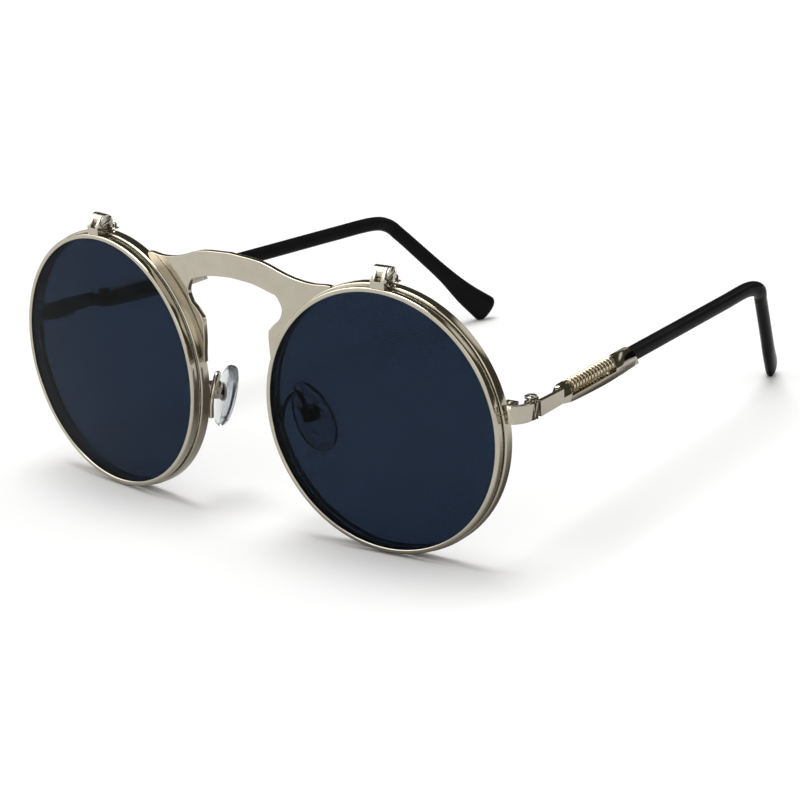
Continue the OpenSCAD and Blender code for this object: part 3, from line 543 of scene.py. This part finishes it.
def lens(obj_name, side, middle_v):
    """A slightly curved lens whose bevelled edge sits in the rim's groove."""
    edge = LENS_R - LENS_FIT
    radii = [edge * i / LENS_RINGS for i in range(LENS_RINGS + 1)]
    front = [(r, middle_v - LENS_T / 2 - sag(edge) + sag(r)) for r in radii]
    back = [(r, middle_v + LENS_T / 2 - sag(edge) + sag(r)) for r in radii]
    front += [(edge, middle_v - GROOVE_HW), (edge + GROOVE_D, middle_v)]
    back += [(edge, middle_v + GROOVE_HW), (edge + GROOVE_D, middle_v)]
    verts, faces = disc_lathe(front, back, LENS_STEPS)
    obj = placed(obj_name, side, rim_point, verts, faces)
    shade(obj, 30)
    return obj


def lenses(name, side):
    dark = lens("dark_lens_glass_" + name, side, FLIP_RIM_D / 2)
    piece(dark, "flip_" + name, "dark_lens", SMOKED, "dark_lens_" + name)
    clear = lens("clear_lens_glass_" + name, side, FIXED_V + FIXED_RIM_D / 2)
    piece(clear, "front", "clear_lens", CLEAR, "clear_lens_" + name)


# Bridge

def on_rim(beyond, angle):
    a = math.radians(angle)
    return (SPACING / 2 - (FIXED_R + beyond) * math.cos(a), (FIXED_R + beyond) * math.sin(a), 0)


def bridge_outline():
    """The right half from the top middle round to the keyhole's middle; it overlaps the rim."""
    top = FIXED_R + BRIDGE_RISE
    under = top - BRIDGE_H
    upper = [(0, top, 0), (SPACING * 0.105, top - 0.62, 0), on_rim(6.9, 48.5), on_rim(4.4, 51.9),
             on_rim(2.35, 56.3), on_rim(0.9, 61.8)]
    keyhole = [(0, under, 0), (SPACING * 0.075, under - 0.45, 0), on_rim(6.65, 39.2),
               on_rim(5.6, 39.95), on_rim(4.5, 39.5), on_rim(3, 37.7), on_rim(2.45, 33.9),
               on_rim(3.05, 29.8), on_rim(3.5, 26.6)]
    leg = [on_rim(3.5, 26.4), on_rim(3.05, 23.7), on_rim(1.85, 17.9), on_rim(0.8, 12.5),
           on_rim(0.35, 8.8)]
    inside = [on_rim(-0.45, a) for a in range(63, 8, -3)]
    half = (smooth_curve(upper, 10) + [Vector(on_rim(0.35, 63.6))] + [Vector(p) for p in inside]
            + smooth_curve(leg, 8)[::-1] + smooth_curve(keyhole, 8)[::-1])
    return [(p.x, p.y) for p in half]


def bridge():
    """A bowed plate with rounded edges, cut across in slices so that its broad faces bend evenly."""
    half = bridge_outline()
    outline = half + [(-x, z) for x, z in reversed(half[1:-1])]
    bow_x = on_rim(0, 45)[0]
    bow_u = (bow_x - SPACING / 2) / math.cos(WRAP)
    bow_rim_y = bow_u * math.sin(WRAP) + (FIXED_V + BRIDGE_BACK) * math.cos(WRAP)
    centre_y = bow_rim_y + math.sqrt(BRIDGE_BOW_R ** 2 - bow_x ** 2)
    front_y = centre_y - BRIDGE_BOW_R

    def bowed(x, depth):
        radius = BRIDGE_BOW_R - depth
        return front_y + BRIDGE_BOW_R - math.sqrt(radius ** 2 - x * x)

    def moved_in(i, amount):
        (x0, z0), (x, z), (x1, z1) = outline[i - 1], outline[i], outline[(i + 1) % len(outline)]
        along = Vector((x1 - x0, z1 - z0)).normalized()
        return x + along.y * amount, z - along.x * amount

    quarter = [math.radians(a) for a in (0, 30, 60, 90)]
    rounded = [(BRIDGE_EDGE_R * (1 - math.sin(a)), BRIDGE_EDGE_R * (1 - math.cos(a))) for a in quarter]
    layers = rounded + [(amount, BRIDGE_T - depth) for amount, depth in reversed(rounded)]
    rings = []
    for amount, depth in layers:
        ring = [moved_in(i, amount) for i in range(len(outline))]
        rings.append([(x, bowed(x, depth), z) for x, z in ring])
    verts, faces = skin(rings)
    obj = placed("bridge_plate_metal", 1, front_point, verts, faces)
    work = bmesh.new()
    work.from_mesh(obj.data)
    for cut_x in range(-BRIDGE_CUT_REACH, BRIDGE_CUT_REACH + 1, BRIDGE_CUT_STEP):
        bmesh.ops.bisect_plane(work, geom=work.verts[:] + work.edges[:] + work.faces[:],
                               dist=BRIDGE_CUT_SNAP * MM, plane_co=(cut_x * MM, 0, 0),
                               plane_no=(1, 0, 0))
    work.to_mesh(obj.data)
    work.free()
    shade(obj, 50)
    weighted = obj.modifiers.new("flat faces stay flat", "WEIGHTED_NORMAL")
    weighted.keep_sharp = True
    piece(obj, "front", "polished_metal", POLISHED, "bridge_plate")


# Temples

def spring(name, side):
    radius = (SPRING_D - WIRE_D) / 2
    mid_z = RAIL_Z + SPRING_RAIL_GAP + SPRING_D / 2
    start, end = NOTCH_START + SOLDER_GAP, NOTCH_END - SOLDER_GAP
    pitch = (end - start - 2 * WIRE_D) / SPRING_TURNS

    def point(s, a):
        return Vector((s, TIP_MID + radius * math.sin(a), mid_z - radius * math.cos(a)))

    path = [point(start, 0), point(start + WIRE_D * 0.6, 0)]
    path += [point(start + WIRE_D + pitch * i / SPRING_STEPS, 2 * math.pi * i / SPRING_STEPS)
             for i in range(1, SPRING_TURNS * SPRING_STEPS)]
    path += [point(end - WIRE_D * 0.6, 0), point(end, 0)]
    rings = []
    for i, centre in enumerate(path):
        direction = heading(path, i)
        out = Vector((0, centre.y - TIP_MID, centre.z - mid_z)).normalized()
        across = direction.cross(out).normalized()
        rings.append(ring_points(centre, across.cross(direction), across, WIRE_D / 2, WIRE_D / 2,
                                 WIRE_SIDES))
    verts, faces = skin(rings)
    obj = placed("temple_spring_wire_" + name, side, bar_point, verts, faces)
    shade(obj, 60)
    piece(obj, "temple_" + name, "spring_steel", SPRING, "temple_spring_" + name)


def temple_tip(name, side):
    rings = tip_rings(*TIP_FINE)
    verts, faces = skin(rings)
    obj = placed("temple_tip_acetate_" + name, side, bar_point, verts, faces)
    work = bmesh.new()
    work.from_mesh(obj.data)
    low = bar_point((BAR_END + BAR_SLANT / 2 + TIP_GAP, TIP_MID, BAR_REAR_RISE - TEMPLE_BELLY))
    high = bar_point((BAR_END - BAR_SLANT / 2 + TIP_GAP, TIP_MID, TEMPLE_TOP))
    inner = bar_point((BAR_END - BAR_SLANT / 2 + TIP_GAP, TIP_MID + 5, TEMPLE_TOP))
    corners = [Vector((p.x * side, p.y - MID_Y, p.z + REST_Z)) * MM for p in (low, high, inner)]
    normal = (corners[1] - corners[0]).cross(corners[2] - corners[0]).normalized()
    if normal.y < 0:
        normal = -normal
    cut = bmesh.ops.bisect_plane(work, geom=work.verts[:] + work.edges[:] + work.faces[:],
                                 plane_co=corners[0], plane_no=normal, clear_inner=True)
    rim_edges = [e for e in cut["geom_cut"] if isinstance(e, bmesh.types.BMEdge)]
    bmesh.ops.contextual_create(work, geom=rim_edges)
    for v in work.verts:
        v.co.z = max(v.co.z, 0)
    bmesh.ops.recalc_face_normals(work, faces=work.faces)
    work.to_mesh(obj.data)
    work.free()
    shade(obj, 50)
    piece(obj, "temple_" + name, "black_acetate", ACETATE, "temple_tip_" + name)


# Nose pads

def nose_pad(name, side):
    rings = []
    for i in range(PAD_RINGS + 1):
        a = math.radians(PAD_END_ANGLE * (2 * i / PAD_RINGS - 1))
        z = PAD_LEN / 2 * math.sin(a)
        half_w = PAD_W / 2 * math.cos(a) * (1 - PAD_TAPER * math.sin(a))
        back = (PAD_T - PAD_FRONT) * math.sqrt(math.cos(a))
        front = PAD_FRONT * math.sqrt(math.cos(a))
        ring = []
        for k in range(PAD_SIDES):
            b = 2 * math.pi * (k + 0.5) / PAD_SIDES
            deep = back if math.sin(b) > 0 else front
            ring.append(Vector((half_w * math.cos(b), deep * math.sin(b), z)))
        rings.append(ring)
    verts, faces = skin(rings)
    obj = placed("nose_pad_silicone_" + name, side, pad_point, verts, faces)
    shade(obj, 80)
    piece(obj, "pad_" + name, "clear_silicone", SILICONE, "nose_pad_" + name)


def pad_arm(name, side):
    """A finer wire over the CAD node's own, which stays for the box at its end."""
    foot_v = FIXED_BACK_V + ARM_D / 2 + SOLDER_GAP
    course = [(-FIXED_R + 1.15, foot_v, PAD_Z - 2.3), (-FIXED_R + 0.75, foot_v, PAD_Z + 0.9),
              (-FIXED_R + 0.95, FIXED_BACK_V + 1.5, PAD_Z + 3.5),
              (-FIXED_R + 1.6, FIXED_BACK_V + 3, PAD_Z + 5.4),
              pad_in_rim((-0.1, PIVOT_Y - 0.1, BOX_TOP_Z + 2.5)),
              pad_in_rim((0, PIVOT_Y, BOX_TOP_Z + 1)), pad_in_rim((0, PIVOT_Y, BOX_TOP_Z - 0.3))]
    path = smooth_curve(course, 10)
    rings = []
    for i, centre in enumerate(path):
        direction = heading(path, i)
        across = Vector((0, 1, 0.2)).cross(direction).normalized()
        rings.append(ring_points(centre, across, direction.cross(across), ARM_D / 2, ARM_D / 2,
                                 ARM_SIDES))
    verts, faces = skin(rings)
    obj = placed("pad_arm_wire_" + name, side, rim_point, verts, faces)
    shade(obj, 60)
    piece(obj, "front", "polished_metal", POLISHED)


# CAD nodes that keep their shape and get soft edges

FINISHED = {
    "flip_bracket": ("front", "polished_metal", POLISHED),
    "flip_screw": ("front", "screw_steel", BRIGHT),
    "flip_tab": ("flip", "polished_metal", POLISHED),
    "end_piece": ("front", "polished_metal", POLISHED),
    "closing_blocks": ("front", "polished_metal", POLISHED),
    "closing_screw": ("front", "screw_steel", BRIGHT),
    "temple_screw": ("front", "screw_steel", BRIGHT),
    "temple_leaf": ("temple", "polished_metal", POLISHED),
    "temple_bar": ("temple", "polished_metal", POLISHED),
    "spring_rod": ("temple", "screw_steel", BRIGHT),
    "pad_insert": ("pad", "pad_insert", STEEL),
    "pad_screw": ("front", "screw_steel", BRIGHT),
}


def finished_nodes(name):
    for node, (body, slot, material) in FINISHED.items():
        cad_name = node + "_" + name
        body_name = body if body == "front" else body + "_" + name
        piece(finished_copy(cad_name), body_name, slot, material, cad_name)


for side_name, side_sign in SIDES.items():
    fixed_rim(side_name, side_sign)
    flip_rim(side_name, side_sign)
    lenses(side_name, side_sign)
    spring(side_name, side_sign)
    temple_tip(side_name, side_sign)
    nose_pad(side_name, side_sign)
    pad_arm(side_name, side_sign)
    finished_nodes(side_name)
    arm_box = frame["nodes"]["pad_arm_" + side_name]
    for material_slot in arm_box.material_slots:
        material_slot.material = POLISHED
bridge()


# Floor, light and camera. The floor's lengths are in metres.

FLOOR_HALF = 2.5
# Painted shade in the metal's reflections: the centre of the table's dark patch, and the distances at
# which it is full and at which it ends
SHADE_CENTRE = (0.03, -0.015, 0)
SHADE_FULL = 0.035
SHADE_END = 0.085


def floor():
    """A white table, which the metal mirrors with painted reflection colours: greyer all over, and a
    painted dark patch below the glasses that fades further out.
    """
    corners = [(-1, -1), (1, -1), (1, 1), (-1, 1)]
    obj = new_object("floor", [(x * FLOOR_HALF, y * FLOOR_HALF, 0) for x, y in corners],
                     [(0, 1, 2, 3)])
    material, nodes, links, shader = new_material("white table")
    cloud = noise(nodes, links, 3, 2)
    white = colour_mix(nodes, links, cloud, (0.94, 0.94, 0.94), (0.96, 0.96, 0.96))
    # painted reflection: the table is greyer to glossy rays alone
    painted_reflection_grey = colour_mix(nodes, links, cloud, (0.7, 0.69, 0.67), (0.78, 0.77, 0.75))
    place = nodes.new("ShaderNodeTexCoord")
    away = nodes.new("ShaderNodeVectorMath")
    away.operation = "DISTANCE"
    away.inputs[1].default_value = SHADE_CENTRE
    links.new(place.outputs["Object"], away.inputs[0])
    # painted shade: a dark patch below the glasses, seen only in reflections
    painted_shade_patch = nodes.new("ShaderNodeMix")
    painted_shade_patch.data_type = "RGBA"
    painted_shade_patch.inputs["A"].default_value = (0.1, 0.09, 0.075, 1)
    links.new(ramp(nodes, links, away.outputs["Value"], 0, 1, SHADE_FULL, SHADE_END),
              painted_shade_patch.inputs["Factor"])
    links.new(painted_reflection_grey, painted_shade_patch.inputs["B"])
    rays = nodes.new("ShaderNodeLightPath")
    mirrored = nodes.new("ShaderNodeMath")
    mirrored.operation = "SUBTRACT"
    mirrored.use_clamp = True
    links.new(rays.outputs["Is Glossy Ray"], mirrored.inputs[0])
    links.new(rays.outputs["Is Transmission Ray"], mirrored.inputs[1])
    mix = nodes.new("ShaderNodeMix")
    mix.data_type = "RGBA"
    links.new(mirrored.outputs["Value"], mix.inputs["Factor"])
    links.new(white, mix.inputs["A"])
    links.new(painted_shade_patch.outputs["Result"], mix.inputs["B"])
    links.new(mix.outputs["Result"], shader.inputs["Base Color"])
    shader.inputs["Roughness"].default_value = 0.6
    shader.inputs["Specular IOR Level"].default_value = 0.2
    obj.data.materials.append(material)


# Soft boxes of the studio: direction, colour, and the degrees at which each fades and is full
STUDIO_PATCHES = [
    ((-0.4, -0.85, 0.3), (1.15, 1.13, 1.08), 78, 50),
    ((-0.6, -0.35, 0.72), (3.4, 3.35, 3.2), 36, 20),
    ((0.75, -0.5, 0.45), (1.5, 1.46, 1.38), 20, 10),
    ((0.2, 0.95, 0.5), (0.9, 0.86, 0.78), 14, 5),
]


def soft_patch(nodes, links, under, direction, colour, edge, full):
    """A bright patch of the studio, seen in the metal round the given direction."""
    aim = nodes.new("ShaderNodeVectorMath")
    aim.operation = "DOT_PRODUCT"
    aim.inputs[1].default_value = Vector(direction).normalized()
    place = nodes.new("ShaderNodeTexCoord")
    links.new(place.outputs["Generated"], aim.inputs[0])
    grow = nodes.new("ShaderNodeMapRange")
    grow.interpolation_type = "SMOOTHSTEP"
    grow.inputs["From Min"].default_value = math.cos(math.radians(edge))
    grow.inputs["From Max"].default_value = math.cos(math.radians(full))
    links.new(aim.outputs["Value"], grow.inputs["Value"])
    mix = nodes.new("ShaderNodeMix")
    mix.data_type = "RGBA"
    links.new(grow.outputs["Result"], mix.inputs["Factor"])
    links.new(under, mix.inputs["A"])
    mix.inputs["B"].default_value = (*colour, 1)
    return mix.outputs["Result"]


def world():
    """White to the camera and through glass, dim with soft boxes in reflections, soft elsewhere."""
    surroundings = bpy.data.worlds.new("studio")
    bpy.context.scene.world = surroundings
    surroundings.use_nodes = True
    nodes, links = surroundings.node_tree.nodes, surroundings.node_tree.links
    nodes.clear()
    ambient = nodes.new("ShaderNodeBackground")
    ambient.inputs["Color"].default_value = (1, 0.995, 0.985, 1)
    ambient.inputs["Strength"].default_value = 0.64
    seen = nodes.new("ShaderNodeBackground")
    seen.inputs["Color"].default_value = (1, 1, 1, 1)
    seen.inputs["Strength"].default_value = 1
    cloud = nodes.new("ShaderNodeTexNoise")
    cloud.inputs["Scale"].default_value = 1.5
    dim = nodes.new("ShaderNodeMix")
    dim.data_type = "RGBA"
    dim.inputs["A"].default_value = (0.035, 0.031, 0.021, 1)
    dim.inputs["B"].default_value = (0.09, 0.082, 0.062, 1)
    links.new(cloud.outputs["Fac"], dim.inputs["Factor"])
    studio = dim.outputs["Result"]
    for patch in STUDIO_PATCHES:
        studio = soft_patch(nodes, links, studio, *patch)
    mirrored = nodes.new("ShaderNodeBackground")
    links.new(studio, mirrored.inputs["Color"])
    rays = nodes.new("ShaderNodeLightPath")
    in_metal = nodes.new("ShaderNodeMixShader")
    links.new(rays.outputs["Is Glossy Ray"], in_metal.inputs["Fac"])
    links.new(ambient.outputs["Background"], in_metal.inputs[1])
    links.new(mirrored.outputs["Background"], in_metal.inputs[2])
    through = nodes.new("ShaderNodeMixShader")
    links.new(rays.outputs["Is Transmission Ray"], through.inputs["Fac"])
    links.new(in_metal.outputs["Shader"], through.inputs[1])
    links.new(seen.outputs["Background"], through.inputs[2])
    mix = nodes.new("ShaderNodeMixShader")
    out = nodes.new("ShaderNodeOutputWorld")
    links.new(rays.outputs["Is Camera Ray"], mix.inputs["Fac"])
    links.new(through.outputs["Shader"], mix.inputs[1])
    links.new(seen.outputs["Background"], mix.inputs[2])
    links.new(mix.outputs["Shader"], out.inputs["Surface"])


def sun(name, source, angle, strength):
    data = bpy.data.lights.new(name, "SUN")
    data.angle = math.radians(angle)
    data.energy = strength
    obj = bpy.data.objects.new(name, data)
    bpy.context.collection.objects.link(obj)
    obj.rotation_euler = Vector(source).to_track_quat("Z", "Y").to_euler()


def camera():
    """The photograph's camera, fitted to its rims and temples."""
    azimuth, elevation, roll = math.radians(41.015), math.radians(19.054), math.radians(-3.451)
    aside, above, distance = -30.235, 1.754, 568.997
    focal_px, image_px, sensor = 3030.07, 800, 36
    back = Vector((math.sin(azimuth) * math.cos(elevation), -math.cos(azimuth) * math.cos(elevation),
                   math.sin(elevation)))
    right = Vector((math.cos(azimuth), math.sin(azimuth), 0))
    up = back.cross(right)
    across = right * math.cos(roll) + up * math.sin(roll)
    over = -right * math.sin(roll) + up * math.cos(roll)
    place = back * distance - across * aside - over * above + Vector((0, -MID_Y, REST_Z))
    data = bpy.data.cameras.new("camera")
    data.sensor_width = sensor
    data.lens = focal_px / image_px * sensor
    data.clip_start = 0.01
    obj = bpy.data.objects.new("camera", data)
    bpy.context.collection.objects.link(obj)
    turned = Matrix((across, over, back)).transposed().to_4x4()
    obj.matrix_world = Matrix.Translation(place * MM) @ turned
    bpy.context.scene.camera = obj


floor()
world()
sun("broad overhead light", (-0.15, 0.1, 1), 34, 1.72)
camera()

bpy.context.scene.view_settings.view_transform = "Standard"
